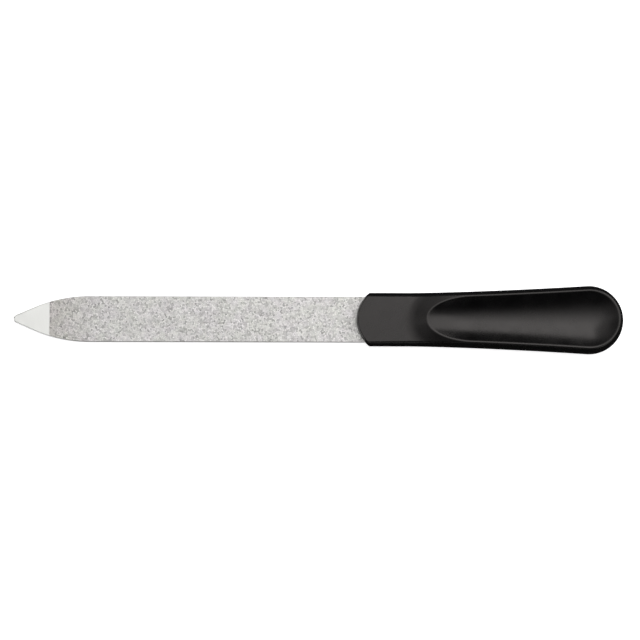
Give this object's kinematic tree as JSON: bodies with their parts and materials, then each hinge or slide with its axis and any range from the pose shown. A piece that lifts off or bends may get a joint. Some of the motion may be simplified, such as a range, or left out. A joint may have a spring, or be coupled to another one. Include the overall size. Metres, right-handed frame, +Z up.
{
  "type": "sapphire nail file",
  "caption": "Two-sided nail file: a pointed steel blade coated with coarse and fine grit, in a black plastic handle with a raised-rim thumb scoop on each side.",
  "frame": {"origin": "middle of the file's length and width, at the level of the lower scoop's rim", "axes": "+X along the file from the pointed tip to the handle's round end, +Y across the blade, +Z up, square to the blade's coarse face"},
  "size_m": [0.16, 0.018, 0.007],
  "materials": {
    "polished_steel": "polished",
    "coarse_grit": "matte",
    "fine_grit": "matte",
    "black_plastic": "satin"
  },
  "bodies": {
    "root": {"blade_core": "polished_steel", "coarse_grit_coating": "coarse_grit", "fine_grit_coating": "fine_grit", "handle": "black_plastic"}
  },
  "joints": []
}
